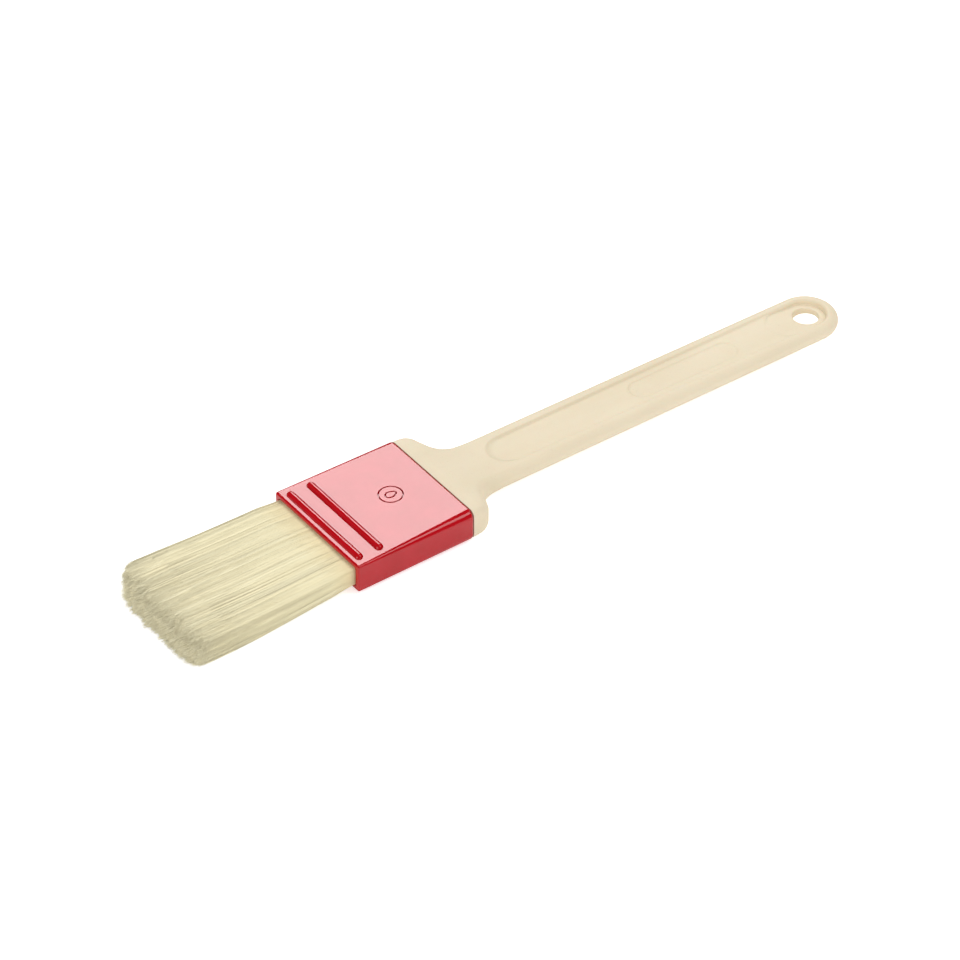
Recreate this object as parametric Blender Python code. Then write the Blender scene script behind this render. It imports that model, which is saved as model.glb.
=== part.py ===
"""A flat pastry brush: plastic handle, moulded ferrule and natural bristles.

Metres, +Z up. +X runs along the brush from the bristle tips to the hanging hole, +Y across its width.
The brush is symmetric about Y = 0 and, apart from the leaning end of the bristles, about its middle plane,
which is level at Z = MIDDLE_Z. The origin is under the middle of its length, on the surface that it lies on.
"""

from math import cos, pi, radians, sin, sqrt

import bmesh
import bpy

MM = 0.001

# Lengths along X.
BRISTLE_LENGTH = 57.5 * MM  # free length, from the ferrule's mouth to the longest tips
FERRULE_LENGTH = 40.4 * MM
HANDLE_LENGTH = 148.0 * MM  # from the ferrule's rear edge to the round end
BRUSH_LENGTH = BRISTLE_LENGTH + FERRULE_LENGTH + HANDLE_LENGTH
MOUTH_X = BRISTLE_LENGTH - BRUSH_LENGTH / 2
REAR_X = MOUTH_X + FERRULE_LENGTH
END_X = REAR_X + HANDLE_LENGTH

GAP = 0.3 * MM  # between neighbouring pieces
CORNER_STEPS = 6  # facets on each rounded edge of a section
SHARP_ANGLE = radians(35.0)  # between faces, above which an edge is shaded sharp
CLEAR_SHARE = 0.98  # the largest edge radius, as a share of a section's half thickness

# Ferrule: a flat sleeve, a little thicker at the handle than at the mouth.
FERRULE_HALF_WIDTH = 21.0 * MM
MOUTH_HALF_THICKNESS = 4.7 * MM
REAR_HALF_THICKNESS = 5.4 * MM
MOUTH_EDGE_RADIUS = 0.7 * MM
REAR_EDGE_RADIUS = 2.6 * MM
WALL = 1.4 * MM
SIDE_WALL = 1.7 * MM
INNER_EDGE_RADIUS = 0.8 * MM
RIB_RADIUS = 1.35 * MM
RIB_LENGTH = 36.8 * MM
RIB_SINK = 0.3 * MM  # how far each rib's axis lies below the face
RIB_OFFSETS = (2.9 * MM, 9.9 * MM)  # from the mouth
RIB_SEGMENTS = 16
RIB_DOME_STEPS = 4
RIB_DOME_ANGLE = radians(82.0)  # where the loft of each domed end stops

# Handle: a tongue inside the ferrule, a shoulder, and a grip with a recessed channel on both faces.
TONGUE_START = 24.0 * MM  # from the mouth
TONGUE_EDGE_RADIUS = 0.7 * MM
SHOULDER_HALF_WIDTH = 20.7 * MM
SHOULDER_HALF_THICKNESS = 5.0 * MM
SHOULDER_EDGE_RADIUS = 1.8 * MM
SHOULDER_CORNER_RADIUS = 4.8 * MM
SHOULDER_STRAIGHT = 3.0 * MM  # straight side next to the ferrule
SHOULDER_SLOPE = radians(55.0)  # of the side between the corner and the neck, from X
NECK_FILLET_RADIUS = 6.8 * MM
NECK_X = REAR_X + 14.8 * MM  # where the neck fillet meets the grip
NECK_HALF_WIDTH = 10.4 * MM
NECK_HALF_THICKNESS = 2.8 * MM
THIN_X = REAR_X + 21.0 * MM  # where the shoulder has thinned down to the grip
END_RADIUS = 9.9 * MM
END_HALF_THICKNESS = 2.5 * MM
HOLE_X = END_X - END_RADIUS
HOLE_RADIUS = 4.0 * MM

CHANNEL_START = REAR_X + 20.2 * MM
CHANNEL_HALF_WIDTH = 6.3 * MM  # at the rim's top
CHANNEL_END_RADIUS = 6.9 * MM  # at the rim's top, concentric with the round end
CHANNEL_WALL_RUN = 0.4 * MM  # how far the sloping wall comes in from the rim to the web
WEB_HALF_THICKNESS = 2.0 * MM
DISH_LENGTH = 14.0 * MM  # over which the web sinks further, up to the hole
DISH_FLOOR = 0.85 * MM  # the web's half thickness at the channel's far end
DISH_INSET = 0.6 * MM  # of the dish's wall from the channel's
PANEL_START = REAR_X + 72.0 * MM
PANEL_END = REAR_X + 111.4 * MM
PANEL_HALF_WIDTH = 4.2 * MM
PANEL_HALF_THICKNESS = 1.75 * MM
CUTTER_TOP = 4.0 * MM  # clear of the rim
ARC_STEPS = 12
GRIP_STATIONS = 14
END_ANGLE = radians(84.0)  # where the loft of the round end stops
HOLE_SEGMENTS = 32

# Bristles, the strip between their two rows, and the resin that holds their roots.
ROOT_X = MOUTH_X + 20.0 * MM
ROW_SETBACK = {"upper": 2.6 * MM, "lower": 0.0}  # the pack's end leans: its upper row is cut shorter
BULGE_LENGTH = 7.0 * MM  # over which the pack swells as it leaves the mouth
BULGE = 0.8 * MM
SPREAD_LENGTH = 46.0 * MM  # over which it spreads further
TIP_HALF_WIDTH = 20.9 * MM
TIP_HALF_THICKNESS = 4.5 * MM
TIP_ROUNDING = 3.4 * MM  # length over which a row's outer side rounds off
TIP_ROUNDING_ANGLE = radians(80.0)
TIP_CORNER_RADIUS = 2.5 * MM
ROW_EDGE_SHARE = 0.9  # edge radius of a row, as a share of its half thickness
ROOT_STATIONS, FREE_STATIONS, TIP_STATIONS = 4, 12, 7
STRIP_HALF_THICKNESS = 0.8 * MM
STRIP_START = MOUTH_X + 5.0 * MM
STRIP_EDGE_RADIUS = 0.3 * MM
ROW_JOIN_X = MOUTH_X - 12.0 * MM  # where the two rows close up in front of the strip
RESIN_LENGTH = 3.4 * MM
RESIN_EDGE_RADIUS = 0.6 * MM

MIDDLE_Z = (
    MOUTH_HALF_THICKNESS
    + (REAR_HALF_THICKNESS - MOUTH_HALF_THICKNESS) * RIB_OFFSETS[1] / FERRULE_LENGTH
    + RIB_RADIUS
    - RIB_SINK
)

CREAM = (0.82, 0.74, 0.58)
RED = (0.55, 0.01, 0.02)
BRISTLE = (0.80, 0.70, 0.45)
AMBER = (0.45, 0.28, 0.10)
GREY = (0.35, 0.35, 0.33)


def clear_scene():
    for obj in list(bpy.data.objects):
        bpy.data.objects.remove(obj, do_unlink=True)


def new_collection(name):
    collection = bpy.data.collections.new(name)
    bpy.context.scene.collection.children.link(collection)
    return collection


def new_material(name, colour, roughness):
    material = bpy.data.materials.new(name)
    material.use_nodes = True
    shader = material.node_tree.nodes["Principled BSDF"]
    shader.inputs["Base Color"].default_value = (*colour, 1.0)
    shader.inputs["Roughness"].default_value = roughness
    shader.inputs["Metallic"].default_value = 0.0
    return material


def mix(a, b, share):
    return a + (b - a) * share


def smooth_share(x, start, end):
    """0 before start, 1 after end, and an S-curve between them."""
    share = min(max((x - start) / (end - start), 0.0), 1.0)
    return share * share * (3.0 - 2.0 * share)


def rounded_section(half_width, half_thickness, radius, middle=0.0, corner_steps=CORNER_STEPS):
    """(y, z) points of a rectangle with rounded corners, anticlockwise seen from +X."""
    radius = min(radius, CLEAR_SHARE * half_width, CLEAR_SHARE * half_thickness)
    corners = ((1, 1, 0.0), (-1, 1, 0.5), (-1, -1, 1.0), (1, -1, 1.5))
    points = []
    for side_y, side_z, first in corners:
        centre_y = side_y * (half_width - radius)
        centre_z = side_z * (half_thickness - radius)
        for step in range(corner_steps + 1):
            angle = pi * (first + 0.5 * step / corner_steps)
            points.append((centre_y + radius * cos(angle), middle + centre_z + radius * sin(angle)))
    return points


def loft(bm, loops):
    """A closed body of quads between loops of equal length, with a cap on each end."""
    rings = [[bm.verts.new(point) for point in loop] for loop in loops]
    count = len(rings[0])
    for first, second in zip(rings, rings[1:]):
        for i in range(count):
            j = (i + 1) % count
            bm.faces.new((first[i], first[j], second[j], second[i]))
    bm.faces.new(rings[0])
    bm.faces.new(rings[-1])
    bmesh.ops.recalc_face_normals(bm, faces=bm.faces)


def loft_along_x(bm, sections):
    """A loft through (x, [(y, z), ...]) sections, set on the brush's middle plane."""
    loft(bm, [[(x, y, MIDDLE_Z + z) for y, z in points] for x, points in sections])


def finish(bm, name, material, collection):
    mesh = bpy.data.meshes.new(name)
    bm.to_mesh(mesh)
    bm.free()
    mesh.shade_smooth()
    mesh.set_sharp_from_angle(angle=SHARP_ANGLE)
    mesh.materials.append(material)
    obj = bpy.data.objects.new(name, mesh)
    collection.objects.link(obj)
    return obj


def hide_cutter(obj):
    obj.hide_render = True
    obj.display_type = "WIRE"


def add_boolean(obj, other, operation):
    modifier = obj.modifiers.new(f"{operation.lower()} {other.name}", "BOOLEAN")
    modifier.operation = operation
    modifier.solver = "EXACT"
    modifier.object = other


# ---------------------------------------------------------------- ferrule


def ferrule_share(x):
    return (x - MOUTH_X) / FERRULE_LENGTH


def ferrule_half_thickness(x):
    return mix(MOUTH_HALF_THICKNESS, REAR_HALF_THICKNESS, ferrule_share(x))


def cavity_half_thickness(x):
    return ferrule_half_thickness(x) - WALL


CAVITY_HALF_WIDTH = FERRULE_HALF_WIDTH - SIDE_WALL


def ferrule_section(x):
    radius = mix(MOUTH_EDGE_RADIUS, REAR_EDGE_RADIUS, ferrule_share(x))
    return rounded_section(FERRULE_HALF_WIDTH, ferrule_half_thickness(x), radius)


def cavity_section(x):
    return rounded_section(CAVITY_HALF_WIDTH, cavity_half_thickness(x), INNER_EDGE_RADIUS)


def make_rib(name, x, side, material, collection):
    """A round bar across the ferrule with domed ends, half sunk into the face."""
    centre_z = MIDDLE_Z + side * (ferrule_half_thickness(x) - RIB_SINK)
    reach = RIB_LENGTH / 2 - RIB_RADIUS
    domed = [RIB_DOME_ANGLE * step / RIB_DOME_STEPS for step in range(RIB_DOME_STEPS + 1)]
    stations = [(-reach - RIB_RADIUS * sin(a), RIB_RADIUS * cos(a)) for a in reversed(domed)]
    stations += [(reach + RIB_RADIUS * sin(a), RIB_RADIUS * cos(a)) for a in domed]
    loops = []
    for y, radius in stations:
        angles = [2 * pi * (segment + 0.5) / RIB_SEGMENTS for segment in range(RIB_SEGMENTS)]
        loops.append([(x + radius * cos(a), y, centre_z + radius * sin(a)) for a in angles])
    bm = bmesh.new()
    loft(bm, loops)
    rib = finish(bm, name, material, collection)
    hide_cutter(rib)
    return rib


def make_ferrule(material, parts, cutters):
    bm = bmesh.new()
    loft_along_x(bm, [(x, ferrule_section(x)) for x in (MOUTH_X, REAR_X)])
    ferrule = finish(bm, "ferrule", material, parts)
    for number, offset in enumerate(RIB_OFFSETS, 1):
        for side, face in ((1, "upper"), (-1, "lower")):
            rib = make_rib(f"{face}_rib_{number}", MOUTH_X + offset, side, material, cutters)
            add_boolean(ferrule, rib, "UNION")

    bm = bmesh.new()
    loft_along_x(bm, [(x, cavity_section(x)) for x in (MOUTH_X - WALL, REAR_X + WALL)])
    cavity = finish(bm, "cavity", material, cutters)
    hide_cutter(cavity)
    add_boolean(ferrule, cavity, "DIFFERENCE")


# ---------------------------------------------------------------- handle


def shoulder_outline():
    """(x, half width) from the ferrule round the shoulder's corner and down the neck's fillet."""
    corner_x = REAR_X + SHOULDER_STRAIGHT
    corner_y = SHOULDER_HALF_WIDTH - SHOULDER_CORNER_RADIUS
    points = [(REAR_X + GAP, SHOULDER_HALF_WIDTH)]
    turns = [SHOULDER_SLOPE * step / CORNER_STEPS for step in range(CORNER_STEPS + 1)]
    radius = SHOULDER_CORNER_RADIUS
    points += [(corner_x + radius * sin(turn), corner_y + radius * cos(turn)) for turn in turns]
    radius = NECK_FILLET_RADIUS
    fillet_y = NECK_HALF_WIDTH + radius
    points += [(NECK_X - radius * sin(turn), fillet_y - radius * cos(turn)) for turn in reversed(turns)]
    return points


def grip_half_width(x):
    return mix(NECK_HALF_WIDTH, END_RADIUS, (x - NECK_X) / (HOLE_X - NECK_X))


def grip_half_thickness(x):
    thinning = smooth_share(x, REAR_X + GAP, THIN_X)
    grip = mix(NECK_HALF_THICKNESS, END_HALF_THICKNESS, (x - THIN_X) / (END_X - THIN_X))
    return mix(SHOULDER_HALF_THICKNESS, grip, thinning)


def edge_radius(x):
    return mix(SHOULDER_EDGE_RADIUS, grip_half_thickness(x), smooth_share(x, REAR_X, THIN_X))


def handle_sections():
    """Half width, half thickness and edge radius at each station, from the tongue to the round end."""
    tongue_x = MOUTH_X + TONGUE_START
    sections = []
    for x in (tongue_x, REAR_X + GAP):
        clear = cavity_half_thickness(min(x, REAR_X)) - GAP
        sections.append((x, rounded_section(CAVITY_HALF_WIDTH - GAP, clear, TONGUE_EDGE_RADIUS)))
    for x, half_width in shoulder_outline():
        sections.append((x, rounded_section(half_width, grip_half_thickness(x), edge_radius(x))))
    for station in range(1, GRIP_STATIONS + 1):
        x = mix(NECK_X, HOLE_X, station / GRIP_STATIONS)
        sections.append((x, rounded_section(grip_half_width(x), grip_half_thickness(x), edge_radius(x))))
    for step in range(1, ARC_STEPS + 1):
        angle = END_ANGLE * step / ARC_STEPS
        x = HOLE_X + END_RADIUS * sin(angle)
        half_width = END_RADIUS * cos(angle)
        inside = min(END_X - x, END_HALF_THICKNESS)
        half_thickness = sqrt(END_HALF_THICKNESS**2 - (END_HALF_THICKNESS - inside) ** 2)
        sections.append((x, rounded_section(half_width, half_thickness, half_thickness)))
    return sections


def slot_outline(start, start_radius, end, end_radius):
    """(x, y) points of a long slot with a round end at each centre."""
    points = []
    for centre, radius, first in ((start, start_radius, 0.5), (end, end_radius, -0.5)):
        for step in range(ARC_STEPS + 1):
            angle = pi * (first + step / ARC_STEPS)
            points.append((centre + radius * cos(angle), radius * sin(angle)))
    return points


def make_slot_cutter(name, centres, radii, widening, bottom, side, material, collection):
    """A slot that opens towards its face: widening is how much its radii grow per metre of height."""
    bm = bmesh.new()
    (start, end), (start_radius, end_radius) = centres, radii
    loops = []
    for z in (bottom, CUTTER_TOP):
        grown = widening * (z - bottom)
        outline = slot_outline(start, start_radius + grown, end, end_radius + grown)
        loops.append([(x, y, MIDDLE_Z + side * z) for x, y in outline])
    loft(bm, loops)
    cutter = finish(bm, name, material, collection)
    hide_cutter(cutter)
    return cutter


def make_dish_cutter(name, side, material, collection):
    """The end of the channel round the hole, with a floor that slopes down towards the round end."""
    radius = CHANNEL_END_RADIUS - DISH_INSET
    start, end = HOLE_X - DISH_LENGTH, HOLE_X + radius
    outline = slot_outline(start + radius, radius, HOLE_X, radius)
    floor = [(x, y, mix(WEB_HALF_THICKNESS, DISH_FLOOR, (x - start) / (end - start))) for x, y in outline]
    bm = bmesh.new()
    loft(bm, [
        [(x, y, MIDDLE_Z + side * z) for x, y, z in floor],
        [(x, y, MIDDLE_Z + side * CUTTER_TOP) for x, y in outline],
    ])
    cutter = finish(bm, name, material, collection)
    hide_cutter(cutter)
    return cutter


def make_handle(material, parts, cutters):
    bm = bmesh.new()
    loft_along_x(bm, handle_sections())
    handle = finish(bm, "handle", material, parts)

    widening = CHANNEL_WALL_RUN / (END_HALF_THICKNESS - WEB_HALF_THICKNESS)
    channel_centres = (CHANNEL_START + CHANNEL_HALF_WIDTH, HOLE_X)
    channel_radii = (CHANNEL_HALF_WIDTH - CHANNEL_WALL_RUN, CHANNEL_END_RADIUS - CHANNEL_WALL_RUN)
    panel_centres = (PANEL_START + PANEL_HALF_WIDTH, PANEL_END - PANEL_HALF_WIDTH)
    panel_radii = (PANEL_HALF_WIDTH, PANEL_HALF_WIDTH)
    for side, face in ((1, "upper"), (-1, "lower")):
        channel = make_slot_cutter(
            f"{face}_channel", channel_centres, channel_radii, widening,
            WEB_HALF_THICKNESS, side, material, cutters,
        )
        panel = make_slot_cutter(
            f"{face}_panel", panel_centres, panel_radii, 0.0,
            PANEL_HALF_THICKNESS, side, material, cutters,
        )
        dish = make_dish_cutter(f"{face}_dish", side, material, cutters)
        for cutter in (channel, panel, dish):
            add_boolean(handle, cutter, "DIFFERENCE")

    bm = bmesh.new()
    bmesh.ops.create_cone(
        bm, cap_ends=True, segments=HOLE_SEGMENTS,
        radius1=HOLE_RADIUS, radius2=HOLE_RADIUS, depth=2 * CUTTER_TOP,
    )
    bmesh.ops.translate(bm, verts=bm.verts, vec=(HOLE_X, 0.0, MIDDLE_Z))
    hole = finish(bm, "hanging_hole", material, cutters)
    hide_cutter(hole)
    add_boolean(handle, hole, "DIFFERENCE")


# ---------------------------------------------------------------- bristles and what holds them


def swell(x, root, tip):
    """A half size of the pack: as in the ferrule, then swelling at the mouth and spreading to the tips."""
    out = MOUTH_X - x
    swollen = mix(root, root + BULGE, smooth_share(out, 0.0, BULGE_LENGTH))
    return mix(swollen, tip, smooth_share(out, 0.0, SPREAD_LENGTH))


def pack_half_width(x, tip_x):
    half_width = swell(x, CAVITY_HALF_WIDTH - GAP, TIP_HALF_WIDTH)
    inside = min(max(x - tip_x, 0.0), TIP_CORNER_RADIUS)
    return half_width - TIP_CORNER_RADIUS + sqrt(TIP_CORNER_RADIUS**2 - (TIP_CORNER_RADIUS - inside) ** 2)


def pack_half_thickness(x, tip_x):
    half_thickness = swell(x, cavity_half_thickness(max(x, MOUTH_X)) - GAP, TIP_HALF_THICKNESS)
    inside = min(max(x - tip_x, 0.0), TIP_ROUNDING) / TIP_ROUNDING
    return half_thickness * sqrt(1.0 - (1.0 - inside) ** 2)


def row_inner_level(x):
    """Distance of a row's inner side from the middle plane: it clears the strip, then closes up."""
    return mix(GAP / 2, STRIP_HALF_THICKNESS + GAP, smooth_share(x, ROW_JOIN_X, STRIP_START - 2 * GAP))


def make_bristle_row(face, side, material, parts):
    tip_x = MOUTH_X - BRISTLE_LENGTH + ROW_SETBACK[face]
    rounding_x = tip_x + TIP_ROUNDING
    stations = [mix(ROOT_X, MOUTH_X, step / ROOT_STATIONS) for step in range(ROOT_STATIONS + 1)]
    stations += [mix(MOUTH_X, rounding_x, step / FREE_STATIONS) for step in range(1, FREE_STATIONS + 1)]
    turns = [TIP_ROUNDING_ANGLE * step / TIP_STATIONS for step in range(1, TIP_STATIONS + 1)]
    stations += [rounding_x - TIP_ROUNDING * sin(turn) for turn in turns]
    sections = []
    for x in stations:
        inner = row_inner_level(x)
        outer = max(pack_half_thickness(x, tip_x), inner + GAP)
        half = (outer - inner) / 2
        middle = side * (inner + outer) / 2
        sections.append((x, rounded_section(pack_half_width(x, tip_x), half, ROW_EDGE_SHARE * half, middle)))
    bm = bmesh.new()
    loft_along_x(bm, sections)
    finish(bm, f"bristle_row_{face}", material, parts)


def make_block(name, start, end, half_width, half_thicknesses, radius, material, parts):
    bm = bmesh.new()
    sections = [
        (x, rounded_section(half_width, half, radius)) for x, half in zip((start, end), half_thicknesses)
    ]
    loft_along_x(bm, sections)
    finish(bm, name, material, parts)


def main():
    clear_scene()
    parts = new_collection("pastry_brush")
    cutters = new_collection("cutters")
    make_ferrule(new_material("ferrule_plastic", RED, 0.15), parts, cutters)
    make_handle(new_material("handle_plastic", CREAM, 0.45), parts, cutters)
    bristle = new_material("bristle", BRISTLE, 0.6)
    make_bristle_row("upper", 1, bristle, parts)
    make_bristle_row("lower", -1, bristle, parts)

    inner_half_width = CAVITY_HALF_WIDTH - GAP
    strip = new_material("spacer_plastic", GREY, 0.6)
    strip_levels = (STRIP_HALF_THICKNESS, STRIP_HALF_THICKNESS)
    make_block(
        "spacer_strip", STRIP_START, ROOT_X, inner_half_width, strip_levels, STRIP_EDGE_RADIUS, strip, parts
    )
    resin_start = ROOT_X + GAP
    resin_end = resin_start + RESIN_LENGTH
    resin_levels = [cavity_half_thickness(x) - GAP for x in (resin_start, resin_end)]
    make_block(
        "resin_block", resin_start, resin_end, inner_half_width, resin_levels, RESIN_EDGE_RADIUS,
        new_material("resin", AMBER, 0.3), parts,
    )


main()
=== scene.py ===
"""A flat pastry brush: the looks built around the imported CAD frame. Metres, same frame as the CAD."""

from math import cos, pi, radians, sin, sqrt

import bmesh
import bpy
import numpy as np
from mathutils import Matrix, Vector
from mathutils.geometry import delaunay_2d_cdt


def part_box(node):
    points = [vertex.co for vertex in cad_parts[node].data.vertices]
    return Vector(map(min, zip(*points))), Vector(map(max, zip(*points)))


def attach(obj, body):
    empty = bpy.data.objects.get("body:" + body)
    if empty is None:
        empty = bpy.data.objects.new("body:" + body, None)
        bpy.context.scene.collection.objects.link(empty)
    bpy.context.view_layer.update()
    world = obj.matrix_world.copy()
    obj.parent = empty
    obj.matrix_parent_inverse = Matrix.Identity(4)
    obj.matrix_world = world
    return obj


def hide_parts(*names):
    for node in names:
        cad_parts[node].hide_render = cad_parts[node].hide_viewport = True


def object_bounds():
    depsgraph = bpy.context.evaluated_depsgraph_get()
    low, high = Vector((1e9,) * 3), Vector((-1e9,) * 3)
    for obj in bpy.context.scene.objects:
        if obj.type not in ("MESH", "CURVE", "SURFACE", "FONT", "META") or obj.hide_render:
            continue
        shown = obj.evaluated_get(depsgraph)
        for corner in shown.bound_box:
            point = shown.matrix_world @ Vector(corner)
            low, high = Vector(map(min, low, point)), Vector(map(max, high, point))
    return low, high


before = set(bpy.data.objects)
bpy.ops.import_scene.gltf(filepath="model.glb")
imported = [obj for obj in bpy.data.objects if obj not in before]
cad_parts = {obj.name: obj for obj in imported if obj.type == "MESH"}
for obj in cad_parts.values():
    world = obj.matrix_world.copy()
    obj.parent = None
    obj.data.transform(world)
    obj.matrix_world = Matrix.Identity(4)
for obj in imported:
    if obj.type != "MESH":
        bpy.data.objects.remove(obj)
cad_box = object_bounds()

MM = 0.001
random = np.random.default_rng(7)

# ---------------------------------------------------------------- places read from the frame

ferrule_low, ferrule_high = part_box("ferrule")
handle_low, handle_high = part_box("handle")
row_low, row_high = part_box("bristle_row_lower")
strip_low, strip_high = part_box("spacer_strip")

MOUTH_X, REAR_X = ferrule_low.x, ferrule_high.x
END_X = handle_high.x
TONGUE_X = handle_low.x
ROOT_X = row_high.x
TIP_X = row_low.x
MIDDLE_Z = (ferrule_low.z + ferrule_high.z) / 2
FERRULE_HALF_WIDTH = ferrule_high.y
FERRULE_LENGTH = REAR_X - MOUTH_X

# ---------------------------------------------------------------- sizes
# They are the CAD's own, apart from those marked "looks".

GAP = 0.3 * MM
MOUTH_HALF_THICKNESS = 4.7 * MM
REAR_HALF_THICKNESS = 5.4 * MM
MOUTH_EDGE_RADIUS = 0.7 * MM
REAR_EDGE_RADIUS = 2.6 * MM
LIP_RADIUS = 0.65 * MM  # looks: rounding of both rims
WALL = 1.4 * MM
SIDE_WALL = 1.7 * MM
INNER_EDGE_RADIUS = 0.8 * MM
CAVITY_HALF_WIDTH = FERRULE_HALF_WIDTH - SIDE_WALL
RIB_RADIUS = 1.35 * MM
RIB_LENGTH = 36.8 * MM
RIB_SINK = 0.3 * MM
RIB_OFFSETS = (2.9 * MM, 9.9 * MM)
FLARE = 0.3 * MM  # looks: of the sleeve's inside at the mouth
FLARE_RUN = 0.5 * MM  # looks
MARK_OFFSET = 26.0 * MM  # looks: the engraved emblem's place, from the mouth
MARK_RADIUS = 3.6 * MM  # looks
MARK_LINE = 0.80 * MM  # looks: width of its lines
MARK_DEPTH = 0.60 * MM  # looks
DROP_RADIUS = 1.45 * MM  # looks: the drop inside the emblem's ring
DROP_SHIFT = 0.25 * MM  # looks

SHOULDER_HALF_WIDTH = 20.7 * MM
SHOULDER_HALF_THICKNESS = 5.0 * MM
SHOULDER_EDGE_RADIUS = 1.8 * MM
SHOULDER_CORNER_RADIUS = 4.8 * MM
SHOULDER_STRAIGHT = 3.0 * MM
SHOULDER_SLOPE = radians(55.0)
NECK_FILLET_RADIUS = 6.8 * MM
NECK_X = REAR_X + 14.8 * MM
NECK_HALF_WIDTH = 10.4 * MM
NECK_HALF_THICKNESS = 2.8 * MM
THIN_X = REAR_X + 21.0 * MM
END_RADIUS = 9.9 * MM
END_HALF_THICKNESS = 2.5 * MM
HOLE_X = END_X - END_RADIUS
HOLE_RADIUS = 4.0 * MM
HOLE_EDGE = 0.35 * MM  # looks: rounding of the hole's edge
CHANNEL_START = REAR_X + 20.2 * MM
CHANNEL_HALF_WIDTH = 6.3 * MM
CHANNEL_END_RADIUS = 6.9 * MM
CHANNEL_WALL_RUN = 0.8 * MM  # looks: 0.4 mm in the CAD
CHANNEL_START_RUN = 2.2 * MM  # looks: the wall is softer where the channel starts
CHANNEL_SOFT_LENGTH = 9.0 * MM  # looks
WEB_HALF_THICKNESS = 2.0 * MM
DISH_LENGTH = 14.0 * MM  # of the sloping floor round the hole, up to the hole's centre
DISH_FLOOR = 0.85 * MM
DISH_INSET = 0.6 * MM
DISH_RADIUS = CHANNEL_END_RADIUS - DISH_INSET
DISH_START = HOLE_X - DISH_LENGTH
DISH_WALL_RUN = 0.25 * MM  # looks
PANEL_START = REAR_X + 72.0 * MM
PANEL_END = REAR_X + 111.4 * MM
PANEL_HALF_WIDTH = 4.2 * MM
PANEL_WALL_RUN = 0.6 * MM  # looks
PANEL_HALF_THICKNESS = 1.75 * MM
TONGUE_EDGE_RADIUS = 0.7 * MM

BULGE_LENGTH = 7.0 * MM
BULGE = 0.45 * MM  # looks: 0.8 mm in the CAD
SPREAD_LENGTH = 46.0 * MM
TIP_HALF_WIDTH = 20.5 * MM  # looks: 20.9 mm in the CAD
TIP_HALF_THICKNESS = 4.5 * MM
DROOP = 1.1 * MM  # looks: how far the pack sinks below the middle plane
DROOP_END = 0.6  # share of the free length where it has sunk that far
STRIP_HALF_THICKNESS = (strip_high.z - strip_low.z) / 2
ROW_JOIN_X = MOUTH_X - 12.0 * MM
FREE_LENGTH = MOUTH_X - TIP_X

# ---------------------------------------------------------------- fineness and small details of the meshes

SHARP_ANGLE = radians(35.0)
HANDLE_SHARP_ANGLE = radians(40.0)
CLEAR_SHARE = 0.98  # largest corner radius, as a share of a section's half size
CORNER_STEPS = 8
FERRULE_CORNER_STEPS = 10
LIP_POINTS = 7
LIP_CORNER_LOSS = 0.6  # of a corner's radius, per length of the rim's inset
RIB_SEGMENTS = 28
RIB_SPANS = 8
RIB_DOME_STEPS = 8
RIB_DOME_ANGLE = radians(84.0)  # where the loft of each domed end stops
FLARE_SHAPE = ((-1.0, 2.0), (0.0, 1.0), (0.4, 0.35), (1.0, 0.0))  # shares of the run and of the flare
GROOVE_FLOOR_SHARE = 0.4  # width of an engraved line's floor
RING_POINTS, DROP_POINTS = 64, 40
DROP_PEAK, DROP_PEAK_POWER = 0.42, 6  # how far the drop's point reaches out, and how sharply
DROP_NARROWING = 0.86

SHOULDER_SPANS = 5
SHOULDER_ARC_POINTS = 13
GRIP_SPANS = 90
END_ARC_POINTS = 25
EDGE_RINGS = 8  # over the rounding of the handle's edge
INNER_RINGS = (2.1 * MM, 2.6 * MM)
SLOT_ARC_POINTS = 33
SLOT_SPACING = 1.2 * MM
CHANNEL_RINGS, DISH_RINGS, PANEL_RINGS = 6, 4, 5
HOLE_POINTS = 64
HOLE_RINGS = (0.0, 0.08, 0.29, 0.62, 1.0)  # shares of the hole's rounding
FRONT_HALF_WIDTH_MM = 20.0  # of the row of points on the handle's front edge
FRONT_POINTS = 21
GRID_X = 0.9 * MM
GRID_Y_MM = 0.85
GRID_HALF_WIDTH_MM = 20.4
OUTLINE_CLEARANCE = 2.9 * MM  # of the grid's points
LINE_CLEARANCE = 0.3 * MM
PLAN_TOLERANCE_MM = 1e-5
MERGE_DISTANCE = 0.002 * MM
CHUNK = 4000  # points whose distances are worked out at a time


def mix(a, b, share):
    return a + (b - a) * share


def smooth_share(value, start, end):
    share = np.clip((value - start) / (end - start), 0.0, 1.0)
    return share * share * (3.0 - 2.0 * share)


# ---------------------------------------------------------------- materials

CREAM_DARK, CREAM_LIGHT = (0.795, 0.685, 0.490), (0.840, 0.735, 0.545)
CREAM_SPECK, CREAM_WORN = (0.64, 0.53, 0.37), (0.82, 0.74, 0.60)
RED_DARK, RED_LIGHT = (0.450, 0.001, 0.005), (0.510, 0.002, 0.009)
HAIR_DARK, HAIR_LIGHT = (0.970, 0.855, 0.530), (1.000, 0.940, 0.660)
HAIR_TIP, HAIR_ROOT = (1.00, 0.96, 0.74), (0.88, 0.68, 0.34)
# The first colour on the next line is painted shade with a painted red reflection of the ferrule, for the
# bristles at the mouth.
HAIR_MOUTH_PAINTED_SHADE, HAIR_STREAK = (0.66, 0.36, 0.14), (0.88, 0.75, 0.46)
# The core's colours on the next line are painted shade: darker than the bristles, standing for the shade
# between them.
CORE_SHADE_DARK, CORE_SHADE_LIGHT = (0.80, 0.66, 0.36), (0.94, 0.82, 0.54)
STRIP_DARK, STRIP_LIGHT = (0.27, 0.27, 0.26), (0.36, 0.36, 0.34)
RESIN_DARK, RESIN_LIGHT = (0.36, 0.20, 0.06), (0.52, 0.33, 0.13)
FLOOR_DARK, FLOOR_LIGHT = (0.88, 0.88, 0.88), (0.90, 0.90, 0.90)
WHITE = (1.0, 1.0, 1.0, 1.0)

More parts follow.
